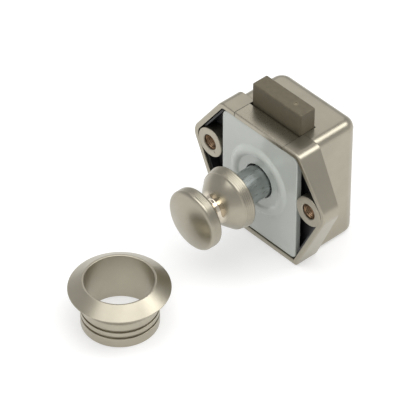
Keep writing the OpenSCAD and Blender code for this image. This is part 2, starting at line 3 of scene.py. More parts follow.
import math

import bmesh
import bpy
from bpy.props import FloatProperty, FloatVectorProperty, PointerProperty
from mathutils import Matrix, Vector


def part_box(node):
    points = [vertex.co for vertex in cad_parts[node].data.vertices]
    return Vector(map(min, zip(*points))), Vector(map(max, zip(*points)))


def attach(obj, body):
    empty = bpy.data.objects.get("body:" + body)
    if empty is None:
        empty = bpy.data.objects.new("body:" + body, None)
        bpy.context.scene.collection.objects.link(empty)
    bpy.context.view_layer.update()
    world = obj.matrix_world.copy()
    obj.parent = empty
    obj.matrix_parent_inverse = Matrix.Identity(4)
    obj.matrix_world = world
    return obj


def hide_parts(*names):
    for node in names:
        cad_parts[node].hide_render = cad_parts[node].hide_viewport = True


bl_info = {
    "name": "Push Button Cabinet Lock",
    "version": (1, 0, 0),
    "blender": (4, 5, 0),
    "location": "3D View > Sidebar > Cabinet Lock",
    "description": "Builds the visible pieces of a push button cabinet lock, its floor, lamps and camera",
    "category": "Object",
}

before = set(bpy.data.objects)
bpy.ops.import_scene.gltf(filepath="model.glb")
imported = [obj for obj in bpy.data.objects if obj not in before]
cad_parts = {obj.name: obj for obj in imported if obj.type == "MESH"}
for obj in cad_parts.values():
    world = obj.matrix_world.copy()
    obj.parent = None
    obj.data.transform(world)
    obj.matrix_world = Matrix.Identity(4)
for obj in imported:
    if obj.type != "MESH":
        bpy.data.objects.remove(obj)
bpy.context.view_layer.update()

MM = 0.001

# Lowest and highest corners of the carried pieces
FRAME_LOW, FRAME_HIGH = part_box("front_frame")
CASE_LOW, CASE_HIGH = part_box("rear_case")
PLATE_LOW, PLATE_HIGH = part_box("guide_plate")
CARRIER_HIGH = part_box("carrier_plate")[1]
BRIDGE_LOW, BRIDGE_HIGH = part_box("slot_bridge")
BUSH_LOW, BUSH_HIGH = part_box("screw_bushes")
KNOB_LOW, KNOB_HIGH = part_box("knob")
BOLT_LOW, BOLT_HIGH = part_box("latch_bolt")
ROSETTE_LOW, ROSETTE_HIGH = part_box("rosette")

# Places that two pieces share: the middle of the bolt, and of its legs beside the window for the shaft
BOLT_MIDDLE = (BOLT_LOW.y + BOLT_HIGH.y) / 2
WINDOW_HALF = 4.75 * MM
LEG_MIDDLE = (WINDOW_HALF + BOLT_HIGH.x) / 2

# Play between parts, how deep joined solids reach into each other, and how far a cut goes past its solid
PLAY = 0.15 * MM
ROOT = 0.4 * MM
PAST = 1 * MM

# Fineness of the modelled surfaces
ARC_STEPS = 6
FINE_ARC_STEPS = 12
RIM_ARC_STEPS = 10
PROFILE_ARC_STEPS = 5
PIN_STEPS = 32
MARK_STEPS = 40
BAR_STEPS = 48
SINK_STEPS = 64
BORE_STEPS = 72
TURN_STEPS = 160
ROSETTE_STEPS = 200
SHARP_ANGLE = math.radians(32)
WELD = 2e-7
LEAST_RADIUS = 0.02 * MM


# Sizes and colours

def length(name, description, default_mm):
    """A size in the sidebar, its default given in millimetres."""
    return FloatProperty(name=name, description=description, default=default_mm * MM, min=0.0,
                         unit="LENGTH", subtype="DISTANCE", precision=5)


def colour(name, description, default):
    """A colour in the sidebar."""
    return FloatVectorProperty(name=name, description=description, default=default, size=3,
                               min=0.0, max=1.0, subtype="COLOR")


class LockSizes(bpy.types.PropertyGroup):
    """Sizes of the lock that the frame's boxes don't give."""

    top_width: length("Top width", "Width of the case's flat top", 28.8)
    ear_reach: length("Ear reach", "Centre line to an ear's untrimmed point", 24.9)
    ear_rise: length("Ear rise", "Height of the ears' points above the knob's axis", 2.6)
    ear_radius: length("Ear radius", "Rounding of the ears' points", 4.5)
    ear_back: length("Ear back", "Depth of the ears' back edge at their points", 5.0)
    case_edge: length("Case edge", "Radius of the case's upper edges", 2.8)
    foot_edge: length("Foot edge", "Radius of the frame's lower corners", 1.0)
    case_foot: length("Case foot", "Radius of the rear case's lower edges", 1.9)
    rear_corner: length("Rear corner", "Radius of the case's upright rear corners", 3.6)
    wall: length("Wall", "Thickness of the case's walls", 1.5)
    rim_width: length("Rim width", "Width of the frame's rim", 1.5)
    rim_round: length("Rim round", "Rounding of the rim's outer edge", 0.45)
    floor_thickness: length("Floor thickness", "Thickness of the frame's floor", 1.0)
    skirt_depth: length("Skirt depth", "How far the frame reaches behind its floor", 1.3)
    hole_spacing: length("Hole spacing", "Distance between the screw holes", 36.6)
    hole_rise: length("Hole rise", "Height of the screw holes above the knob's axis", 1.4)
    hole_diameter: length("Hole diameter", "Bore of the screw holes", 4.4)
    boss_diameter: length("Boss diameter", "Diameter of the bosses round the screw holes", 8.6)
    plate_thickness: length("Plate thickness", "Thickness of the guide plate", 1.6)
    plate_corner: length("Plate corner", "Radius of the guide plate's upper corners", 2.2)
    ring_diameter: length("Ring diameter", "Mid diameter of the guide plate's raised ring", 17.4)
    ring_bead: length("Ring bead", "Radius of the raised ring's section", 1.6)
    hub_rise: length("Hub rise", "How far the plate inside the ring stands proud", 0.2)
    plate_hole: length("Plate hole", "Diameter of the shaft's hole in the guide plate", 9.7)
    head_diameter: length("Head diameter", "Diameter of the knob's head", 16.6)
    neck_diameter: length("Neck diameter", "Diameter of the knob's polished neck", 6.8)
    flange_diameter: length("Flange diameter", "Diameter of the knob's rear flange", 17.2)
    crease_diameter: length("Crease diameter", "Diameter at the front of the flange's band", 16.0)
    bolt_edge: length("Bolt edge", "Rounding of the bolt's edges", 0.4)
    rosette_bore: length("Rosette bore", "Bore of the rosette", 17.6)
    barrel_diameter: length("Barrel diameter", "Diameter of the rosette's barrel", 20.0)


class LockColours(bpy.types.PropertyGroup):
    """Colours of the lock's finishes."""

    nickel: colour("Nickel", "Satin nickel plate", (0.37, 0.343, 0.275))
    polished: colour("Polished neck", "Polished nickel on the knob's neck", (0.62, 0.56, 0.46))
    zinc: colour("Zinc", "Bare cast zinc of the shaft", (0.43, 0.46, 0.455))
    white_plastic: colour("White plastic", "Guide plate", (0.57, 0.60, 0.555))
    black_plastic: colour("Black plastic", "Carrier plate, wedge and crown", (0.012, 0.012, 0.013))
    bolt_coat: colour("Bolt coat", "Taupe coat of the bolt", (0.122, 0.105, 0.070))
    brass: colour("Brass", "Bushes in the screw holes", (0.40, 0.27, 0.17))
    steel: colour("Steel", "Screws, springs and stud", (0.52, 0.53, 0.55))


def sizes():
    """The sizes that the user has set."""
    return bpy.context.scene.lock_sizes


def colours():
    """The colours that the user has set."""
    return bpy.context.scene.lock_colours


# Outlines

def corner_arc(before, corner, after, radius, steps):
    """Points that round one corner of a path."""
    to_before = (before - corner).normalized()
    to_after = (after - corner).normalized()
    half = to_before.angle(to_after) / 2
    centre = corner + (to_before + to_after).normalized() * (radius / math.sin(half))
    reach = radius / math.tan(half)
    start = (corner + to_before * reach - centre).normalized()
    end = (corner + to_after * reach - centre).normalized()
    swing = start.angle(end)
    points = []
    for step in range(steps + 1):
        part = step / steps
        aim = start * math.sin((1 - part) * swing) + end * math.sin(part * swing)
        points.append(centre + aim * (radius / math.sin(swing)))
    return points


def rounded(corners, closed=True, steps=ARC_STEPS):
    """A path through corners given as (across, up, radius), each corner rounded."""
    points = [Vector(corner[:2]) for corner in corners]
    count = len(points)
    path = []
    for i, corner in enumerate(corners):
        is_end = not closed and i in (0, count - 1)
        if is_end or corner[2] <= 0:
            path.append(points[i])
        else:
            path += corner_arc(points[i - 1], points[i], points[(i + 1) % count], corner[2], steps)
    return path


def drawn_in(corners, amount):
    """An outline's corners moved inwards by an amount, with their radii cut by as much."""
    points = [Vector(corner[:2]) for corner in corners]
    moved = []
    for i, corner in enumerate(corners):
        to_before = (points[i - 1] - points[i]).normalized()
        to_after = (points[(i + 1) % len(points)] - points[i]).normalized()
        half = to_before.angle(to_after) / 2
        place = points[i] + (to_before + to_after).normalized() * (amount / math.sin(half))
        moved.append((place.x, place.y, max(corner[2] - amount, LEAST_RADIUS)))
    return moved


def box_outline(low_x, low_y, high_x, high_y, radius):
    """The four corners of a rectangle, with one radius."""
    return [(low_x, low_y, radius), (high_x, low_y, radius),
            (high_x, high_y, radius), (low_x, high_y, radius)]


# Meshes

def skin(rings, along=False):
    """A closed mesh through closed rings of points. along joins the last ring to the first."""
    build = bmesh.new()
    rows = [[build.verts.new(point) for point in ring] for ring in rings]
    count = len(rows[0])
    for i in range(len(rows) if along else len(rows) - 1):
        here = rows[i]
        there = rows[(i + 1) % len(rows)]
        for j in range(count):
            k = (j + 1) % count
            build.faces.new((here[j], here[k], there[k], there[j]))
    for end in () if along else (rows[0], rows[-1]):
        if max((vert.co - end[0].co).length for vert in end) > WELD:
            build.faces.new(end)
    bmesh.ops.remove_doubles(build, verts=build.verts, dist=WELD)
    bmesh.ops.recalc_face_normals(build, faces=build.faces)
    mesh = bpy.data.meshes.new("skin")
    build.to_mesh(mesh)
    build.free()
    return mesh


def swept(outline_at, section, along=False):
    """A mesh whose section of (inset, depth) pairs follows an outline drawn in X and Z."""
    rings = []
    for amount, depth in section:
        rings.append([Vector((point.x, depth, point.y)) for point in outline_at(amount)])
    return skin(rings, along)


def raised(outline_at, section):
    """A mesh whose section of (inset, height) pairs follows an outline drawn in X and Y."""
    rings = []
    for amount, height in section:
        rings.append([Vector((point.x, point.y, height)) for point in outline_at(amount)])
    return skin(rings)


def prism(outline, low_z, high_z):
    """An upright prism on an outline of (x, y, radius) corners."""
    return raised(lambda amount: rounded(outline, steps=FINE_ARC_STEPS), [(0, low_z), (0, high_z)])


def turned(profile, place=(0, 0, 0), upright=False, along=False, steps=TURN_STEPS):
    """A mesh turned round the Y axis, or round Z where upright, from (radius, height) pairs."""
    rings = []
    for radius, height in profile:
        ring = []
        for step in range(steps):
            angle = 2 * math.pi * step / steps
            across = radius * math.cos(angle)
            up = radius * math.sin(angle)
            point = Vector((across, up, height)) if upright else Vector((across, height, up))
            ring.append(point + Vector(place))
        rings.append(ring)
    return skin(rings, along)


def block(low, high, edge=0.0):
    """A box between two corners, with the edges that run along Y rounded by edge."""
    outline = box_outline(low[0], low[2], high[0], high[2], edge)
    return swept(lambda amount: rounded(outline), [(0, low[1]), (0, high[1])])


def bar(radius, low_y, high_y, x=0.0, z=0.0):
    """A round bar along Y."""
    return turned([(radius, low_y), (radius, high_y)], place=(x, 0, z), steps=BAR_STEPS)


def joined(meshes):
    """Several closed meshes as one."""
    build = bmesh.new()
    for mesh in meshes:
        build.from_mesh(mesh)
    mesh = bpy.data.meshes.new("joined")
    build.to_mesh(mesh)
    build.free()
    return mesh


def combined(base, tools, operation):
    """The base mesh with each tool mesh cut from it or added to it."""
    body = bpy.data.objects.new("body", base)
    bpy.context.scene.collection.objects.link(body)
    for tool_mesh in tools:
        tool = bpy.data.objects.new("tool", tool_mesh)
        bpy.context.scene.collection.objects.link(tool)
        modifier = body.modifiers.new("combine", "BOOLEAN")
        modifier.operation = operation
        modifier.solver = "EXACT"
        modifier.object = tool
        bpy.context.view_layer.update()
        graph = bpy.context.evaluated_depsgraph_get()
        body.data = bpy.data.meshes.new_from_object(body.evaluated_get(graph))
        body.modifiers.clear()
        bpy.data.objects.remove(tool)
    mesh = body.data
    bpy.data.objects.remove(body)
    return mesh


def less(base, *tools):
    """The base mesh with the tools cut from it."""
    return combined(base, tools, "DIFFERENCE")


def plus(base, *tools):
    """The base mesh with the tools added to it."""
    return combined(base, tools, "UNION")


def piece(name, mesh, body, replaced, material):
    """Puts a mesh in the scene as a smooth piece that rides on a body and stands for its CAD node."""
    mesh.name = name
    mesh.polygons.foreach_set("use_smooth", [True] * len(mesh.polygons))
    mesh.set_sharp_from_angle(angle=SHARP_ANGLE)
    mesh.materials.clear()
    mesh.materials.append(material)
    shown = bpy.data.objects.new(name, mesh)
    bpy.context.scene.collection.objects.link(shown)
    even = shown.modifiers.new("even_shading", "WEIGHTED_NORMAL")
    even.keep_sharp = True
    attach(shown, body)
    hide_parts(replaced)
    return shown


def dress(node, material):
    """Gives a carried CAD node its finish."""
    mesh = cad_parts[node].data
    mesh.materials.clear()
    mesh.materials.append(material)


# Finishes

class Finish:
    """A node material that is being put together."""

    def __init__(self, name):
        """Starts from the plain shader and the piece's own coordinates."""
        self.material = bpy.data.materials.new(name)
        self.material.use_nodes = True
        self.nodes = self.material.node_tree.nodes
        self.links = self.material.node_tree.links
        self.shader = self.nodes["Principled BSDF"]
        self.place = self.add("ShaderNodeTexCoord").outputs["Object"]

    def add(self, kind, **values):
        """A new node with its settings."""
        node = self.nodes.new(kind)
        for name, value in values.items():
            setattr(node, name, value)
        return node

    def set(self, **values):
        """Sets the shader's own sockets, with _ for a space in their names."""
        for name, value in values.items():
            self.shader.inputs[name.replace("_", " ")].default_value = value

    def noise(self, scale, detail, roughness=0.55, stretch=(1, 1, 1)):
        """Noise over the piece, in cycles per metre, with its coordinates stretched along the axes."""
        mapping = self.add("ShaderNodeMapping")
        mapping.inputs["Scale"].default_value = stretch
        self.links.new(self.place, mapping.inputs["Vector"])
        noise = self.add("ShaderNodeTexNoise")
        noise.inputs["Scale"].default_value = scale
        noise.inputs["Detail"].default_value = detail
        noise.inputs["Roughness"].default_value = roughness
        self.links.new(mapping.outputs["Vector"], noise.inputs["Vector"])
        return noise.outputs["Fac"]

    def ranged(self, value, low, high, start=0.0, end=1.0):
        """A value that runs from low to high while the given one runs from start to end."""
        change = self.add("ShaderNodeMapRange")
        change.inputs["From Min"].default_value = start
        change.inputs["From Max"].default_value = end
        change.inputs["To Min"].default_value = low
        change.inputs["To Max"].default_value = high
        self.links.new(value, change.inputs["Value"])
        return change.outputs["Result"]

    def tinted(self, value, dark, light, start=0.3, end=0.7):
        """A colour ramp between two colours."""
        ramp = self.add("ShaderNodeValToRGB")
        ramp.color_ramp.elements[0].position = start
        ramp.color_ramp.elements[0].color = (*dark, 1.0)
        ramp.color_ramp.elements[1].position = end
        ramp.color_ramp.elements[1].color = (*light, 1.0)
        self.links.new(value, ramp.inputs["Fac"])
        return ramp.outputs["Color"]

    def worked(self, operation, first, second):
        """Two values put through a maths node."""
        step = self.add("ShaderNodeMath", operation=operation)
        self.links.new(first, step.inputs[0])
        self.links.new(second, step.inputs[1])
        return step.outputs[0]

    def mixed(self, share, under, over):
        """A painted colour that gives way to a plain one by a share."""
        mix = self.add("ShaderNodeMix", data_type="RGBA")
        self.links.new(share, mix.inputs[0])
        self.links.new(under, mix.inputs[6])
        mix.inputs[7].default_value = (*over, 1.0)
        return mix.outputs[2]

    def paint(self, socket, value):
        """Links a value or a colour to one of the shader's sockets."""
        self.links.new(value, self.shader.inputs[socket])

    def bump(self, height, distance, strength=0.5):
        """Links a height to the shader as fine relief."""
        bump = self.add("ShaderNodeBump")
        bump.inputs["Distance"].default_value = distance
        bump.inputs["Strength"].default_value = strength
        self.links.new(height, bump.inputs["Height"])
        self.links.new(bump.outputs["Normal"], self.shader.inputs["Normal"])


def shade(tint, factor):
    """A colour made darker or lighter."""
    return tuple(min(1.0, part * factor) for part in tint)


def satin_nickel(name, roughness, painted_light_tone=1.0):
    """Blasted and plated metal: a fine even grain with faint clouding."""
    finish = Finish(name)
    finish.set(Metallic=1.0)
    # A tone above 1 paints the nickel lighter: painted light, a lit copy of the same plating.
    base = shade(colours().nickel, painted_light_tone)
    spread = 0.03
    clouds = finish.noise(140.0, 4.0)
    finish.paint("Base Color", finish.tinted(clouds, shade(base, 0.94), shade(base, 1.05)))
    fine = finish.noise(5200.0, 2.0)
    finish.paint("Roughness", finish.ranged(fine, roughness - spread, roughness + spread, 0.3, 0.7))
    finish.bump(fine, 0.002 * MM, 0.3)
    return finish.material


def knob_metal():
    """Satin metal on the head and flange, polished on the neck between them."""
    finish = Finish("knob_metal")
    finish.set(Metallic=1.0)
    base = colours().nickel
    head_back = -20.1 * MM
    neck_end = -14.9 * MM
    fade = 0.7 * MM
    satin_roughness = 0.31
    polished_roughness = 0.06
    clouds = finish.noise(160.0, 4.0)
    satin = finish.tinted(clouds, shade(base, 0.92), shade(base, 1.06))
    split = finish.add("ShaderNodeSeparateXYZ")
    finish.links.new(finish.place, split.inputs[0])
    front = finish.ranged(split.outputs["Y"], 0.0, 1.0, head_back, head_back + fade)
    back = finish.ranged(split.outputs["Y"], 1.0, 0.0, neck_end - fade, neck_end)
    polish = finish.worked("MULTIPLY", front, back)
    finish.paint("Base Color", finish.mixed(polish, satin, colours().polished))
    finish.paint("Roughness", finish.ranged(polish, satin_roughness, polished_roughness))
    finish.bump(finish.noise(4200.0, 2.0, stretch=(1, 3, 1)), 0.003 * MM)
    return finish.material


def cast_zinc():
    """Bare zinc with fine streaks where the shaft slides."""
    finish = Finish("cast_zinc")
    finish.set(Metallic=1.0)
    base = colours().zinc
    streaks = finish.noise(160.0, 5.0, 0.65, stretch=(9, 1, 9))
    finish.paint("Base Color", finish.tinted(streaks, shade(base, 0.88), shade(base, 1.08), 0.32, 0.68))
    finish.paint("Roughness", finish.ranged(streaks, 0.2, 0.42, 0.3, 0.7))
    finish.bump(streaks, 0.01 * MM)
    return finish.material


def moulded(name, tint, roughness, coat=0.0):
    """Moulded plastic: nearly even, with a faint orange-peel grain."""
    finish = Finish(name)
    finish.set(Coat_Weight=coat, Coat_Roughness=0.12)
    clouds = finish.noise(90.0, 3.0)
    finish.paint("Base Color", finish.tinted(clouds, shade(tint, 0.96), shade(tint, 1.02)))
    peel = finish.noise(2600.0, 2.0)
    finish.paint("Roughness", finish.ranged(peel, roughness - 0.04, roughness + 0.05, 0.3, 0.7))
    finish.bump(peel, 0.003 * MM)
    return finish.material


def bolt_mark():
    """Middle of the moulding mark on the bolt's top."""
    return Vector((BOLT_HIGH.x / 2, BOLT_MIDDLE, BOLT_HIGH.z))


def taupe_coat():
    """A dull coat on the bolt, with a painted highlight along its edges and painted paler in a spot round
    its mark.
    """
    finish = Finish("taupe_coat")
    base = colours().bolt_coat
    edge_highlight_width = 0.35 * MM
    pale_mark_reach = 0.8 * MM
    grain = finish.noise(900.0, 5.0, 0.6)
    coat = finish.tinted(grain, shade(base, 0.88), shade(base, 1.1))
    # Painted highlight: the coat turns paler where the surface bends round the bolt's edges, and paler
    # again in a spot round its mark.
    soft = finish.add("ShaderNodeBevel", samples=6)
    soft.inputs["Radius"].default_value = edge_highlight_width
    true = finish.add("ShaderNodeNewGeometry").outputs["True Normal"]
    facing = finish.add("ShaderNodeVectorMath", operation="DOT_PRODUCT")
    finish.links.new(soft.outputs["Normal"], facing.inputs[0])
    finish.links.new(true, facing.inputs[1])
    painted_edge_highlight = finish.ranged(facing.outputs["Value"], 0.0, 0.7, 0.985, 0.9)
    away = finish.add("ShaderNodeVectorMath", operation="DISTANCE")
    finish.links.new(finish.place, away.inputs[0])
    away.inputs[1].default_value = bolt_mark()
    pale_mark = finish.ranged(away.outputs["Value"], 1.0, 0.0, pale_mark_reach / 2, pale_mark_reach)
    edge_highlight_and_pale_mark = finish.worked("MAXIMUM", painted_edge_highlight, pale_mark)
    finish.paint("Base Color", finish.mixed(edge_highlight_and_pale_mark, coat, shade(base, 1.7)))
    finish.paint("Roughness", finish.ranged(grain, 0.42, 0.56, 0.3, 0.7))
    finish.bump(grain, 0.006 * MM)
    finish.set(Metallic=0.1, Specular_IOR_Level=0.3)
    return finish.material


def bush_brass():
    """Drawn brass, browned in patches."""
    finish = Finish("bush_brass")
    base = colours().brass
    patches = finish.noise(520.0, 4.0)
    finish.paint("Base Color", finish.tinted(patches, shade(base, 0.35), shade(base, 1.2), 0.38, 0.62))
    finish.paint("Roughness", finish.ranged(patches, 0.28, 0.45, 0.3, 0.7))
    finish.bump(patches, 0.01 * MM)
    finish.set(Metallic=1.0)
    return finish.material


def bright_steel():
    """Drawn steel wire and small screws."""
    finish = Finish("bright_steel")
    base = colours().steel
    drawn = finish.noise(1500.0, 3.0)
    finish.paint("Base Color", finish.tinted(drawn, shade(base, 0.85), shade(base, 1.1)))
    finish.paint("Roughness", finish.ranged(drawn, 0.2, 0.34, 0.3, 0.7))
    finish.set(Metallic=1.0)
    return finish.material


def background_white(tint, lit):
    """The floor: a pale surface that camera and mirror rays see as white, and that keeps its shadows."""
    finish = Finish("floor_paper")
    finish.set(Roughness=0.9)
    grain = finish.noise(60.0, 3.0)
    finish.paint("Base Color", finish.tinted(grain, shade(tint, 0.98), tint))
    rays = finish.add("ShaderNodeLightPath")
    seen = rays.outputs["Is Camera Ray"]
    for kind in ("Is Glossy Ray", "Is Transmission Ray"):
        seen = finish.worked("MAXIMUM", seen, rays.outputs[kind])
    finish.shader.inputs["Emission Color"].default_value = (1, 1, 1, 1)
    finish.paint("Emission Strength", finish.ranged(seen, 0.0, lit))
    return finish.material


# Pieces

def frame_corners():
    """The front frame's outline from its top right corner, clockwise."""
    size = sizes()
    half = size.top_width / 2
    top = FRAME_HIGH.z
    foot = FRAME_LOW.z
    return [
        (half, top, size.case_edge),
        (size.ear_reach, size.ear_rise, size.ear_radius),
        (half, foot, size.foot_edge),
        (-half, foot, size.foot_edge),
        (-size.ear_reach, size.ear_rise, size.ear_radius),
        (-half, top, size.case_edge),
    ]


def hole_places():
    """Where the two screw holes are, as (x, z)."""
    size = sizes()
    return [(side * size.hole_spacing / 2, size.hole_rise) for side in (-1, 1)]


def make_front_frame():
    """The winged frame: rim, floor, two bosses, and the notch for the bridge."""
    size = sizes()
    front = FRAME_LOW.y
    back = FRAME_HIGH.y
    seat_y = back - size.skirt_depth
    floor_y = seat_y - size.floor_thickness
    set_back = 0.04 * MM
    corners = frame_corners()

    def outline_at(amount):
        """The frame's outline, drawn in by an amount."""
        return rounded(drawn_in(corners, amount), steps=RIM_ARC_STEPS)

    section = rounded([
        (0, back, 0.1 * MM),
        (0, front, size.rim_round),
        (size.rim_width, front, 0.2 * MM),
        (size.rim_width, back, 0.05 * MM),
    ])
    rim = swept(outline_at, section, along=True)
    plate = swept(outline_at, [(size.rim_width / 2, floor_y), (size.rim_width / 2, back - set_back)])
    boss_r = size.boss_diameter / 2
    boss_front = front + set_back
    boss = rounded([
        (0, boss_front, 0),
        (boss_r, boss_front, 0.25 * MM),
        (boss_r, seat_y, 0),
        (0, seat_y, 0),
    ], closed=False)
    bosses = [turned(boss, place=(x, 0, z), steps=BORE_STEPS) for x, z in hole_places()]
    metal = plus(rim, plate, *bosses)

    # The openings for the works, stepped round the case's posts
    tab_x = 9.2 * MM
    tab_z = 3.8 * MM
    cavity_x = CASE_HIGH.x - size.wall
    low = CASE_LOW.z + size.wall
    high = CASE_HIGH.z - size.wall
    ahead_y = floor_y - 0.5 * MM
    behind_y = back + PAST
    cuts = [
        block((-tab_x, ahead_y, low), (tab_x, behind_y, high)),
        block((-cavity_x, ahead_y, low + tab_z), (cavity_x, behind_y, high - tab_z)),
        block((-cavity_x, seat_y, low), (cavity_x, behind_y, high)),
    ]

    # The notch for the slot bridge, with a seam at each end
    seam = 0.12 * MM
    cuts.append(block((BRIDGE_LOW.x - seam, front - PAST, high - ROOT),
                      (BRIDGE_HIGH.x + seam, behind_y, FRAME_HIGH.z + PAST)))

    # The slope of the ears' backs
    half = size.top_width / 2
    reach = FRAME_HIGH.x
    slope = (size.ear_back - back) / (reach - half)
    for side in (-1, 1):
        wedge = [(side * half, back, 0), (side * (reach + PAST), back + slope * (reach + PAST - half), 0),
                 (side * (reach + PAST), behind_y, 0), (side * half, behind_y, 0)]
        cuts.append(prism(wedge, FRAME_LOW.z - PAST, FRAME_HIGH.z + PAST))

    # The screw holes, wider behind for the bushes
    hole_r = size.hole_diameter / 2
    bush_r = BUSH_HIGH.z - size.hole_rise + 0.02 * MM
    lead = 0.18 * MM
    bore = [
        (0, front - PAST), (hole_r + lead + PAST, front - PAST), (hole_r + lead, boss_front),
        (hole_r, boss_front + lead), (hole_r, BUSH_LOW.y), (bush_r, BUSH_LOW.y), (bush_r, behind_y),
        (0, behind_y),
    ]
    cuts += [turned(bore, place=(x, 0, z), steps=BORE_STEPS) for x, z in hole_places()]
    return piece("front_frame_metal", less(metal, *cuts), "case", "front_frame",
                 satin_nickel("frame_nickel", 0.33))


def make_rear_case():
    """The box behind the frame, with its cavity, posts, rails, slot and screw recesses."""
    size = sizes()
    front = FRAME_HIGH.y
    post_front = CASE_LOW.y
    back = CASE_HIGH.y
    half = CASE_HIGH.x
    top = CASE_HIGH.z
    foot = CASE_LOW.z
    cavity_x = half - size.wall
    cavity_low = foot + size.wall
    cavity_high = top - size.wall
    wall_y = back - size.wall
    overrun = 8 * MM
    run_in = 1.6

    def plan(half_x, back_y, radius):
        """The case's outline from above, longer than the case in front."""
        return [(half_x, back_y, radius), (-half_x, back_y, radius),
                (-half_x, front - overrun, 0), (half_x, front - overrun, 0)]

    corners = plan(half, back, size.rear_corner)
    section = rounded([(size.case_foot * run_in, foot, 0), (0, foot, size.case_foot),
                       (0, top, size.case_edge), (size.case_edge * run_in, top, 0)],
                      closed=False, steps=RIM_ARC_STEPS)
    shell = raised(lambda amount: rounded(drawn_in(corners, amount), steps=FINE_ARC_STEPS), section)
    ahead = block((-half - overrun, front - 2 * overrun, foot - overrun),
                  (half + overrun, front, top + overrun))
    cavity = prism(plan(cavity_x, wall_y, size.rear_corner - size.wall), cavity_low, cavity_high)
    shell = less(shell, ahead, cavity)

    # Posts for the case screws, rails behind the bolt, and pegs under its springs
    post_x = 10.8 * MM
    post_r = 1.6 * MM
    post_inset = 2.2 * MM
    heights = (cavity_low + post_inset, cavity_high - post_inset)
    spots = [(side * post_x, z) for side in (-1, 1) for z in heights]
    posts = [bar(post_r, post_front, wall_y + ROOT, x, z) for x, z in spots]
    rail_y = BOLT_HIGH.y + PLAY
    rail_inner = 5.2 * MM
    rail_thickness = 1.2 * MM
    rails = []
    for side in (-1, 1):
        ends = sorted((side * rail_inner, side * (cavity_x + ROOT)))
        rails.append(block((ends[0], rail_y, cavity_low - ROOT),
                           (ends[1], rail_y + rail_thickness, cavity_high + ROOT)))
    peg_r = 0.7 * MM
    peg_rise = 1.5 * MM
    pegs = [turned([(peg_r, cavity_low - ROOT), (peg_r, cavity_low + peg_rise)],
                   place=(side * LEG_MIDDLE, BOLT_MIDDLE, 0), upright=True, steps=PIN_STEPS)
            for side in (-1, 1)]
    shell = plus(shell, *posts, *rails, *pegs)

    # The bolt's slot
    slot_half = BOLT_HIGH.x + PLAY
    cuts = [block((-slot_half, front - PAST, cavity_high - ROOT),
                  (slot_half, BOLT_HIGH.y + PLAY, top + PAST), edge=0.3 * MM)]

    # The case screws' holes with their recesses, and the hole of the spring's post with its own
    screw_r = 1.05 * MM
    recess = 1.3 * MM
    lead = 0.15 * MM
    rivet_r = 1.22 * MM
    rivet_head_r = 2.4 * MM
    rivet_recess = 0.5 * MM
    cuts += [bar(screw_r, post_front - PAST, back + PAST, x, z) for x, z in spots]
    sink = [(0, back - recess), (post_r + lead, back - recess), (post_r + lead, back - lead),
            (post_r + 3 * lead, back + lead), (0, back + lead)]
    cuts += [turned(sink, place=(x, 0, z), steps=SINK_STEPS) for x, z in spots]
    cuts += [bar(rivet_r, wall_y - PAST, back + PAST), bar(rivet_head_r, back - rivet_recess, back + PAST)]
    return piece("rear_case_metal", less(shell, *cuts), "case", "rear_case",
                 satin_nickel("case_nickel", 0.33))


def make_slot_bridge():
    """The loose bar that closes the frame's notch in front of the bolt."""
    size = sizes()
    bolt_gap = 0.25 * MM
    rear_round = 0.3 * MM
    low_round = 0.1 * MM
    end_ease = 0.05 * MM
    low_z = BRIDGE_HIGH.z - size.wall
    back = BRIDGE_HIGH.y - bolt_gap
    outline = rounded([
        (BRIDGE_LOW.y, BRIDGE_HIGH.z, size.rim_round),
        (back, BRIDGE_HIGH.z, rear_round),
        (back, low_z, low_round),
        (BRIDGE_LOW.y, low_z, low_round),
    ])
    middle = Vector(((BRIDGE_LOW.y + back) / 2, (low_z + BRIDGE_HIGH.z) / 2))
    rings = []
    for x, drawn in ((BRIDGE_LOW.x, end_ease), (BRIDGE_LOW.x + end_ease, 0),
                     (BRIDGE_HIGH.x - end_ease, 0), (BRIDGE_HIGH.x, end_ease)):
        ring = []
        for point in outline:
            pulled = point + (middle - point).normalized() * drawn
            ring.append(Vector((x, pulled.x, pulled.y)))
        rings.append(ring)
    bridge = skin(rings)
    carrier_step = 1.35 * MM
    tongue = block((BRIDGE_LOW.x / 2, PLATE_HIGH.y + PLAY, BRIDGE_LOW.z),
                   (BRIDGE_HIGH.x / 2, CARRIER_HIGH.y - carrier_step, low_z + ROOT))
    return piece("slot_bridge_metal", plus(bridge, tongue), "case", "slot_bridge",
                 satin_nickel("bridge_nickel", 0.29))


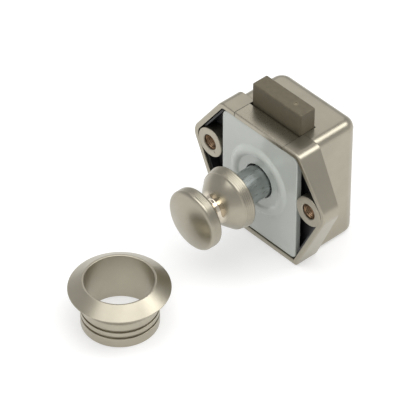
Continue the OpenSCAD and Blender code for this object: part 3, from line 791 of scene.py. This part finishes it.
def make_guide_plate():
    """The white plate with its raised ring and proud hub, one closed surface."""
    size = sizes()
    back = PLATE_HIGH.y
    face = back - size.plate_thickness
    hub = face - size.hub_rise
    half = PLATE_HIGH.x
    foot_edge = 1.5 * MM
    corners = [(half, PLATE_HIGH.z, size.plate_corner), (half, PLATE_LOW.z, foot_edge),
               (-half, PLATE_LOW.z, foot_edge), (-half, PLATE_HIGH.z, size.plate_corner)]
    longest_side = 0.6 * MM
    base = rounded(corners)
    count = len(base)
    splits = []
    for i, point in enumerate(base):
        splits.append(max(1, math.ceil((base[(i + 1) % count] - point).length / longest_side)))

    def split(path):
        """A path like the plate's edge, with its long sides split."""
        finer = []
        for i, parts in enumerate(splits):
            finer += [path[i].lerp(path[(i + 1) % count], part / parts) for part in range(parts)]
        return finer

    angles = [math.atan2(point.y, point.x) for point in split(base)]

    def edge_ring(amount, depth):
        """The plate's edge, drawn in by an amount."""
        drawn = split(rounded(drawn_in(corners, amount)))
        return [Vector((point.x, depth, point.y)) for point in drawn]

    def round_ring(radius, depth):
        """A circle with one point for each point of the plate's edge."""
        return [Vector((radius * math.cos(angle), depth, radius * math.sin(angle))) for angle in angles]

    hole = size.plate_hole / 2
    mid = size.ring_diameter / 2
    bead_y = PLATE_LOW.y + size.ring_bead
    inner_turn = math.radians(-42)
    outer_turn = math.radians(48)

    def bead_point(turn):
        """A point of the bead's section, at a turn from its crest."""
        return mid + size.ring_bead * math.sin(turn), bead_y - size.ring_bead * math.cos(turn)

    def foot_corner(turn, level):
        """Where the bead's tangent at a turn meets a level."""
        across, depth = bead_point(turn)
        return across + (level - depth) / math.tan(turn), level

    bead_steps = 14
    cove_steps = 7
    face_reach = 2.6 * MM
    bead = [(*bead_point(inner_turn + (outer_turn - inner_turn) * step / bead_steps), 0)
            for step in range(bead_steps + 1)]
    rise = [(hole, back, 0), (hole, hub, 0.15 * MM), (*foot_corner(inner_turn, hub), 0.7 * MM), *bead,
            (*foot_corner(outer_turn, face), 0.8 * MM), (mid + face_reach, face, 0)]
    rings = [round_ring(*pair) for pair in rounded(rise, closed=False, steps=cove_steps)]
    lip_reach = 1.0 * MM
    lip = rounded([(lip_reach, face, 0), (0, face, 0.3 * MM), (0, back, 0.08 * MM), (lip_reach, back, 0)],
                  closed=False)
    rings += [edge_ring(*pair) for pair in lip]
    return piece("guide_plate_moulding", skin(rings, along=True), "case", "guide_plate",
                 moulded("white_moulding", colours().white_plastic, 0.34, coat=0.8))


def make_screw_bushes():
    """Two brass bushes, their bores threaded."""
    size = sizes()
    outer = BUSH_HIGH.z - size.hole_rise
    bore = size.hole_diameter / 2
    pitch = 0.5 * MM
    depth = 0.14 * MM
    lead = 0.15 * MM
    back = size.ear_back + 0.7 * MM
    profile = [(outer, back), (outer, BUSH_LOW.y), (bore, BUSH_LOW.y)]
    for turn in range(int((back - BUSH_LOW.y) / pitch)):
        crest = BUSH_LOW.y + lead + turn * pitch
        profile += [(bore, crest), (bore + depth, crest + pitch / 2)]
    profile.append((bore, back))
    bushes = joined([turned(profile, place=(x, 0, z), along=True, steps=BORE_STEPS)
                     for x, z in hole_places()])
    return piece("screw_bush_brass", bushes, "case", "screw_bushes", bush_brass())


def turned_lines(start, end):
    """Four shallow grooves along a band, as extra points between two (radius, height) pairs."""
    count = 4
    depth = 0.055 * MM
    lines = []
    for i in range(count):
        for part, drop in ((0.25, 0), (0.5, depth), (0.75, 0)):
            share = (i + part) / count
            radius = start[0] + (end[0] - start[0]) * share - drop
            lines.append((radius, start[1] + (end[1] - start[1]) * share))
    return lines


def make_knob():
    """The spool-shaped knob: rear neck, flange, bell, polished neck, head and dome."""
    size = sizes()
    root = KNOB_HIGH.y
    flange_y = root - 1.3 * MM
    crease_y = flange_y - 2.8 * MM
    neck_y = crease_y - 4.2 * MM
    flare_y = neck_y - 2.6 * MM
    rim_y = flare_y - 2.0 * MM
    face_y = rim_y - 2.6 * MM
    flange_r = size.flange_diameter / 2
    crease_r = size.crease_diameter / 2
    head_r = size.head_diameter / 2
    neck_r = size.neck_diameter / 2
    rear_neck_r = 3.5 * MM
    waist_r = neck_r - 0.35 * MM

    # The rear neck, and the flange's band with its lines
    band_start = (flange_r - 0.08 * MM, flange_y - 0.6 * MM)
    band_end = (crease_r + 0.05 * MM, crease_y + 0.25 * MM)
    bell_r = crease_r - 0.25 * MM
    bell_y = crease_y - 0.12 * MM
    profile = rounded([(0, root, 0), (rear_neck_r, root, 0.1 * MM), (rear_neck_r, flange_y, 0.25 * MM),
                       (flange_r, flange_y, 0.35 * MM), (*band_start, 0)], closed=False)
    profile += turned_lines(band_start, band_end)
    profile += rounded([(*band_end, 0), (crease_r, crease_y, 0.12 * MM), (bell_r, bell_y, 0)], closed=False)

    # The bell, between a cone and a quarter round
    bell_foot = neck_r + 0.3 * MM
    bulge = 0.25
    steps = 18
    for step in range(1, steps):
        share = step / steps
        swing = math.pi / 2 * share
        fall = share + bulge * (1 - math.cos(swing) - share)
        run = share + bulge * (math.sin(swing) - share)
        profile.append((bell_r + (bell_foot - bell_r) * fall, bell_y + (neck_y - bell_y) * run))

    # The neck with its collar, the flare, and the head's band with its lines
    head_start = (head_r, rim_y - 0.25 * MM)
    profile += rounded([
        (bell_foot, neck_y + 0.02 * MM, 0),
        (neck_r, neck_y - 0.25 * MM, 0.35 * MM),
        (neck_r, neck_y - 1.15 * MM, 0.15 * MM),
        (waist_r, neck_y - 1.35 * MM, 0.12 * MM),
        (waist_r, flare_y + 0.1 * MM, 0.4 * MM),
        (head_r * 0.62, flare_y - 0.75 * MM, 0.8 * MM),
        (head_r - 0.15 * MM, rim_y + 0.35 * MM, 0.3 * MM),
        (*head_start, 0),
    ], closed=False, steps=PROFILE_ARC_STEPS)
    profile += turned_lines(head_start, (head_r, face_y + 0.7 * MM))

    # The lip, and the dome from the lip to the middle
    lip = 0.55 * MM
    profile += [(head_r, face_y + lip), (head_r - 0.05 * MM, face_y + 0.28 * MM),
                (head_r - 0.2 * MM, face_y + 0.05 * MM)]
    dome_h = face_y - KNOB_LOW.y
    dome_r = (head_r ** 2 + dome_h ** 2) / (2 * dome_h)
    crown = math.asin(head_r / dome_r)
    lip_turn = math.asin((head_r - lip) / dome_r)
    steps = 16
    for step in range(steps + 1):
        swing = lip_turn * (1 - step / steps)
        profile.append((dome_r * math.sin(swing),
                        face_y + dome_r * math.cos(crown) - dome_r * math.cos(swing)))
    return piece("knob_spool", turned(profile), "plunger", "knob", knob_metal())


def make_bolt():
    """The square bolt with its window, spring holes and moulding mark."""
    half = BOLT_HIGH.x
    front = BOLT_LOW.y
    back = BOLT_HIGH.y
    top = BOLT_HIGH.z
    foot = BOLT_LOW.z
    edge = sizes().bolt_edge
    corners = box_outline(-half, front, half, back, edge * 1.1)
    section = rounded([(edge, foot, 0), (0, foot, edge / 2), (0, top, edge), (edge * 1.5, top, 0)],
                      closed=False, steps=PROFILE_ARC_STEPS)
    bolt = raised(lambda amount: rounded(drawn_in(corners, amount)), section)

    # The window for the shaft, with the sloped sill that the wedge slides along
    window_top = 11.3 * MM
    sill_slope = 0.878
    sill_rise = sill_slope * (back - front)
    sill_low = -13.09 * MM + sill_slope * (front - 2.2 * MM)
    profile = [(front - PAST, sill_low - sill_slope * PAST),
               (back + PAST, sill_low + sill_rise + sill_slope * PAST),
               (back + PAST, window_top), (front - PAST, window_top)]
    window = skin([[Vector((x, y, z)) for y, z in profile] for x in (-WINDOW_HALF, WINDOW_HALF)])

    spring_r = 1.4 * MM
    holes = [turned([(spring_r, foot - PAST), (spring_r, 0)], place=(side * LEG_MIDDLE, BOLT_MIDDLE, 0),
                    upright=True, steps=PIN_STEPS) for side in (-1, 1)]
    mark_r = 0.55 * MM
    mark_low = top - 0.2 * MM
    spot = bolt_mark()
    mark = turned([(0, mark_low), (mark_r * 0.7, mark_low), (mark_r, top - 0.13 * MM),
                   (mark_r, top + PAST), (0, top + PAST)],
                  place=(spot.x, spot.y, 0), upright=True, steps=MARK_STEPS)
    return piece("bolt_block", less(bolt, window, *holes, mark), "bolt", "latch_bolt",
                 taupe_coat())


def make_rosette():
    """The flanged ring: conical face, cove under the flange, ribs and grooves round the barrel."""
    size = sizes()
    centre_x = (ROSETTE_HIGH.x + ROSETTE_LOW.x) / 2
    centre_y = (ROSETTE_HIGH.y + ROSETTE_LOW.y) / 2
    bore = size.rosette_bore / 2
    barrel = size.barrel_diameter / 2
    flange = ROSETTE_HIGH.x - centre_x
    rim_top = ROSETTE_HIGH.z - ROSETTE_LOW.z
    edge_h = rim_top - 2.5 * MM
    root = barrel - 0.6 * MM
    band = 2.8 * MM
    groove = 0.75 * MM
    rib = 1.3 * MM
    ease = 0.18 * MM
    root_ease = 0.1 * MM
    low_rib = band + groove
    high_rib = low_rib + rib + groove
    neck = high_rib + rib
    profile = rounded([
        (bore, 0, 0.25 * MM),
        (barrel, 0, 0.35 * MM),
        (barrel, band, ease),
        (root, band, root_ease),
        (root, low_rib, root_ease),
        (barrel, low_rib, ease),
        (barrel, low_rib + rib, ease),
        (root, low_rib + rib, root_ease),
        (root, high_rib, root_ease),
        (barrel, high_rib, ease),
        (barrel, neck + 0.9 * MM, 1.6 * MM),
        (flange - 0.35 * MM, edge_h - 0.55 * MM, 0.3 * MM),
        (flange, edge_h - 0.18 * MM, 0.12 * MM),
        (flange - 0.02 * MM, edge_h, 0.08 * MM),
        (bore + 0.55 * MM, rim_top, 0.2 * MM),
        (bore, rim_top - 0.1 * MM, 0.2 * MM),
    ], steps=PROFILE_ARC_STEPS)
    ring = turned(profile, place=(centre_x, centre_y, ROSETTE_LOW.z), upright=True, along=True,
                  steps=ROSETTE_STEPS)
    # The rosette's nickel is painted 1.14 times lighter than the frame's and case's: a lit copy of the same
    # plating, painted light.
    return piece("rosette_ring", ring, "rosette", "rosette",
                 satin_nickel("rosette_lit_nickel", 0.34, painted_light_tone=1.14))


def dress_works():
    """Finishes for the carried pieces: shaft, carrier, springs, index and fasteners."""
    black = moulded("black_moulding", colours().black_plastic, 0.45)
    white = moulded("index_moulding", colours().white_plastic, 0.4)
    steel = bright_steel()
    dress("plunger_shaft", cast_zinc())
    for node in ("carrier_plate", "cam_wedge", "index_crown"):
        dress(node, black)
    dress("index_rotor", white)
    for node in ("case_screws", "spring_guide", "return_spring", "bolt_springs", "wedge_screw",
                 "knob_stud", "rotor_clip"):
        dress(node, steel)


# Stage

def lamp(name, place, width, height, radiance):
    """A soft white area lamp of a given radiance, turned towards the lock's origin."""
    data = bpy.data.lights.new(name, "AREA")
    data.shape = "RECTANGLE"
    data.size = width
    data.size_y = height
    data.energy = radiance * math.pi * width * height
    lamp_object = bpy.data.objects.new(name, data)
    lamp_object.location = place
    lamp_object.rotation_euler = (-Vector(place)).to_track_quat("-Z", "Y").to_euler()
    bpy.context.scene.collection.objects.link(lamp_object)


def make_world():
    """A soft sky: palest at the horizon and below it, greyer overhead."""
    horizon = 0.74
    overhead = 0.38
    world = bpy.data.worlds.new("studio")
    bpy.context.scene.world = world
    world.use_nodes = True
    nodes = world.node_tree.nodes
    links = world.node_tree.links
    place = nodes.new("ShaderNodeTexCoord")
    split = nodes.new("ShaderNodeSeparateXYZ")
    ramp = nodes.new("ShaderNodeValToRGB")
    for element, position, grey in zip(ramp.color_ramp.elements, (0.0, 1.0), (horizon, overhead)):
        element.position = position
        element.color = (grey, grey, grey, 1)
    links.new(place.outputs["Generated"], split.inputs[0])
    links.new(split.outputs["Z"], ramp.inputs["Fac"])
    links.new(ramp.outputs["Color"], nodes["Background"].inputs["Color"])


def make_floor():
    """A wide pale floor under the lock."""
    reach = 3.0
    thickness = 0.02
    tint = (0.60, 0.60, 0.60)
    lit = 0.45
    level = min(CASE_LOW.z, ROSETTE_LOW.z)
    mesh = block((-reach, -reach, level - thickness), (reach, reach, level))
    mesh.materials.append(background_white(tint, lit))
    floor = bpy.data.objects.new("floor", mesh)
    bpy.context.scene.collection.objects.link(floor)


def make_camera():
    """The camera at the photograph's view."""
    azimuth = math.radians(47.66)
    elevation = math.radians(41.313)
    distance = 0.850
    aim = Vector((-0.01812, 0.0, -0.02156))
    picture_px = 420
    focal_px = 3253.2
    sensor = 36.0
    level_reach = math.cos(elevation)
    back = Vector((math.sin(azimuth) * level_reach, -math.cos(azimuth) * level_reach,
                   math.sin(elevation)))
    data = bpy.data.cameras.new("camera")
    data.sensor_width = sensor
    data.lens = focal_px * sensor / picture_px
    data.clip_start = 0.01
    camera = bpy.data.objects.new("camera", data)
    camera.location = aim + back * distance
    camera.rotation_euler = (-back).to_track_quat("-Z", "Y").to_euler()
    bpy.context.scene.collection.objects.link(camera)
    bpy.context.scene.camera = camera


def make_stage():
    """The world, floor, camera and lamps. Each lamp has its place, width, height and radiance."""
    make_world()
    make_floor()
    make_camera()
    lamp("top_softbox", (0.05, -0.08, 0.75), 0.90, 0.70, 2.2)
    lamp("back_panel", (-0.52, 0.47, 0.62), 0.45, 0.40, 0.75)
    lamp("right_panel", (0.32, 0.46, 0.70), 0.42, 0.38, 3.6)
    lamp("front_panel", (0.0, -0.85, 0.20), 0.60, 0.25, 0.6)
    bpy.context.scene.view_settings.view_transform = "Standard"


# Operators

class FrameOperator(bpy.types.Operator):
    """Model the winged front frame"""

    bl_idname = "cabinet_lock.front_frame"
    bl_label = "Front frame"

    def execute(self, context):
        make_front_frame()
        return {"FINISHED"}


class CaseOperator(bpy.types.Operator):
    """Model the rear case"""

    bl_idname = "cabinet_lock.rear_case"
    bl_label = "Rear case"

    def execute(self, context):
        make_rear_case()
        return {"FINISHED"}


class BridgeOperator(bpy.types.Operator):
    """Model the bar in front of the bolt"""

    bl_idname = "cabinet_lock.slot_bridge"
    bl_label = "Slot bridge"

    def execute(self, context):
        make_slot_bridge()
        return {"FINISHED"}


class PlateOperator(bpy.types.Operator):
    """Model the white guide plate"""

    bl_idname = "cabinet_lock.guide_plate"
    bl_label = "Guide plate"

    def execute(self, context):
        make_guide_plate()
        return {"FINISHED"}


class BushOperator(bpy.types.Operator):
    """Model the brass bushes in the ears"""

    bl_idname = "cabinet_lock.screw_bushes"
    bl_label = "Screw bushes"

    def execute(self, context):
        make_screw_bushes()
        return {"FINISHED"}


class KnobOperator(bpy.types.Operator):
    """Model the spool-shaped knob"""

    bl_idname = "cabinet_lock.knob"
    bl_label = "Knob"

    def execute(self, context):
        make_knob()
        return {"FINISHED"}


class BoltOperator(bpy.types.Operator):
    """Model the square bolt"""

    bl_idname = "cabinet_lock.bolt"
    bl_label = "Bolt"

    def execute(self, context):
        make_bolt()
        return {"FINISHED"}


class RosetteOperator(bpy.types.Operator):
    """Model the loose door rosette"""

    bl_idname = "cabinet_lock.rosette"
    bl_label = "Rosette"

    def execute(self, context):
        make_rosette()
        return {"FINISHED"}


class WorksOperator(bpy.types.Operator):
    """Give the shaft, plates, springs and fasteners their finishes"""

    bl_idname = "cabinet_lock.works"
    bl_label = "Works"

    def execute(self, context):
        dress_works()
        return {"FINISHED"}


class StageOperator(bpy.types.Operator):
    """Set up the floor, world, lamps and camera"""

    bl_idname = "cabinet_lock.stage"
    bl_label = "Stage"

    def execute(self, context):
        make_stage()
        return {"FINISHED"}


OPERATORS = (FrameOperator, CaseOperator, BridgeOperator, PlateOperator, BushOperator, KnobOperator,
             BoltOperator, RosetteOperator, WorksOperator, StageOperator)


class CabinetLockPanel(bpy.types.Panel):
    """Lists the lock's pieces in the sidebar"""

    bl_idname = "VIEW3D_PT_cabinet_lock"
    bl_label = "Cabinet Lock"
    bl_space_type = "VIEW_3D"
    bl_region_type = "UI"
    bl_category = "Cabinet Lock"

    def draw(self, context):
        for operator in OPERATORS:
            self.layout.operator(operator.bl_idname)


CLASSES = (LockSizes, LockColours, *OPERATORS, CabinetLockPanel)


def register():
    """Adds the settings, operators and panel."""
    for item in CLASSES:
        bpy.utils.register_class(item)
    bpy.types.Scene.lock_sizes = PointerProperty(type=LockSizes)
    bpy.types.Scene.lock_colours = PointerProperty(type=LockColours)


def unregister():
    """Takes them away again."""
    del bpy.types.Scene.lock_colours
    del bpy.types.Scene.lock_sizes
    for item in reversed(CLASSES):
        bpy.utils.unregister_class(item)


def main():
    """Builds every piece and the stage."""
    register()
    for operator in OPERATORS:
        group, name = operator.bl_idname.split(".")
        getattr(getattr(bpy.ops, group), name)()


if __name__ == "__main__":
    main()
